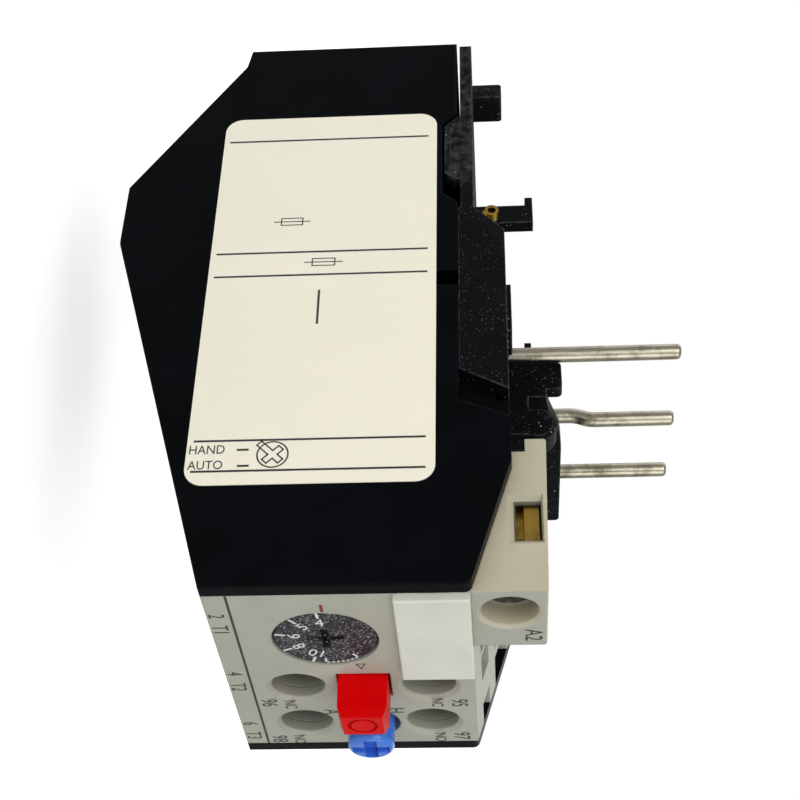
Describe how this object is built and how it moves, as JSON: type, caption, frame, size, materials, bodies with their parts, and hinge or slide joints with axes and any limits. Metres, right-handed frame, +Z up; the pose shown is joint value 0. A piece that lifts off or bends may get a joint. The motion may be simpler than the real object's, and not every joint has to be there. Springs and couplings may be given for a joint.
{
  "type": "thermal overload relay",
  "caption": "Motor overload relay that hangs under a contactor on stiff conductor pins, with setting dial, stop and reset buttons, auxiliary contacts and load terminals.",
  "frame": {"origin": "on the top deck that meets the contactor, on the width centre plane, in line with the middle conductor pin", "axes": "+Z up along the conductor pins, -Y out of the front face with dial and buttons, +X right seen from the front"},
  "size_m": [0.045, 0.102, 0.0774],
  "materials": {
    "base_black": "satin moulded plastic",
    "cover_black": "smooth moulded plastic",
    "carrier_grain": "grainy glass-filled moulding",
    "grey_moulding": "fine matte",
    "marker_white": "matte",
    "dial_black": "matte",
    "button_red": "gloss",
    "knob_blue": "gloss",
    "insulator": "matte",
    "brass": "plain",
    "zinc_steel": "zinc plated",
    "spring_steel": "drawn",
    "tinned_wire": "tinned",
    "bimetal": "rolled",
    "heater_wire": "oxidised"
  },
  "bodies": {
    "housing_group": {"housing": "base_black", "side_cover": "cover_black", "carrier": "carrier_grain", "pin_guard": "carrier_grain", "front_cover": "grey_moulding", "contact_block": "grey_moulding", "coil_terminal_block": "grey_moulding", "marker_plate": "marker_white", "coil_clamp": "brass", "coil_screw": "zinc_steel", "coil_lead": "brass", "setting_lever_pin": "zinc_steel", "stop_spring": "spring_steel", "reset_spring": "spring_steel", "bimetal_block": "insulator", "rocker_pin": "zinc_steel", "conductor_pin_1": "tinned_wire", "bimetal_strip_1": "bimetal", "heater_winding_1": "heater_wire", "load_terminal_1": "brass", "load_clamp_1": "zinc_steel", "load_screw_1": "zinc_steel", "conductor_pin_2": "tinned_wire", "bimetal_strip_2": "bimetal", "heater_winding_2": "heater_wire", "load_terminal_2": "brass", "load_clamp_2": "zinc_steel", "load_screw_2": "zinc_steel", "conductor_pin_3": "tinned_wire", "bimetal_strip_3": "bimetal", "heater_winding_3": "heater_wire", "load_terminal_3": "brass", "load_clamp_3": "zinc_steel", "load_screw_3": "zinc_steel", "auxiliary_terminal_95": "brass", "auxiliary_screw_95": "zinc_steel", "auxiliary_terminal_96": "brass", "auxiliary_screw_96": "zinc_steel", "auxiliary_terminal_97": "brass", "auxiliary_screw_97": "zinc_steel", "auxiliary_terminal_98": "brass", "auxiliary_screw_98": "zinc_steel"},
    "dial": {"setting_dial": "dial_black", "dial_cam": "dial_black"},
    "lever": {"setting_lever": "brass"},
    "stop": {"stop_button": "button_red"},
    "reset_slide": {"reset_rod": "grey_moulding"},
    "reset_turn": {"reset_knob": "knob_blue"},
    "slider": {"trip_slider": "insulator"},
    "second_slider": {"differential_slider": "insulator"},
    "rocker": {"trip_rocker": "insulator"},
    "closed_contact": {"nc_contact_spring": "brass"},
    "open_contact": {"no_contact_spring": "brass"}
  },
  "joints": [
    {"name": "dial_turn", "type": "hinge", "parent": "housing_group", "child": "dial", "pos_m": [-0.0092, -0.0406, -0.0236], "axis": [0, 1, 0], "range_deg": [0, 190]},
    {"name": "setting_lever_swing", "type": "hinge", "parent": "housing_group", "child": "lever", "pos_m": [-0.003, -0.0231, -0.0123], "axis": [0, 1, 0], "range_deg": [0, 10.2]},
    {"name": "stop_press", "type": "slide", "parent": "housing_group", "child": "stop", "axis": [0, 1, 0], "range_m": [0, 0.0025], "stiffness_N_per_m": 600, "springref_m": -0.002, "deforming": ["stop_spring"]},
    {"name": "reset_press", "type": "slide", "parent": "housing_group", "child": "reset_slide", "axis": [0, 1, 0], "range_m": [0, 0.002], "stiffness_N_per_m": 600, "springref_m": -0.002, "deforming": ["reset_spring"]},
    {"name": "reset_mode_turn", "type": "hinge", "parent": "reset_slide", "child": "reset_turn", "pos_m": [0.0143, -0.0406, -0.0196], "axis": [0, 1, 0], "range_deg": [0, 90]},
    {"name": "trip_slide", "type": "slide", "parent": "housing_group", "child": "slider", "axis": [1, 0, 0], "range_m": [0, 0.0016], "stiffness_N_per_m": 400, "springref_m": -0.001, "deforming": ["bimetal_strip_1", "bimetal_strip_2", "bimetal_strip_3"]},
    {"name": "second_slide", "type": "slide", "parent": "housing_group", "child": "second_slider", "axis": [1, 0, 0], "range_m": [0, 0.0016]},
    {"name": "rocker_swing", "type": "hinge", "parent": "housing_group", "child": "rocker", "pos_m": [0.009, -0.0166, -0.0195], "axis": [0, 0, -1], "range_deg": [0, 6.69]},
    {"name": "closed_contact_swing", "type": "hinge", "parent": "housing_group", "child": "closed_contact", "pos_m": [0.0038, -0.02035, -0.01315], "axis": [1, 0, 0], "range_deg": [0, 3.85]},
    {"name": "open_contact_swing", "type": "hinge", "parent": "housing_group", "child": "open_contact", "pos_m": [0.0143, -0.02035, -0.01315], "axis": [-1, 0, 0], "range_deg": [0, 3.85]}
  ],
  "couplings": [
    {"joint": "setting_lever_swing", "follows": "dial_turn", "ratio": 0.0534},
    {"joint": "second_slide", "follows": "trip_slide", "ratio": 1},
    {"joint": "rocker_swing", "follows": "trip_slide", "rad_per_m": 72.464},
    {"joint": "closed_contact_swing", "follows": "trip_slide", "rad_per_m": 41.408},
    {"joint": "open_contact_swing", "follows": "trip_slide", "rad_per_m": 41.408}
  ]
}
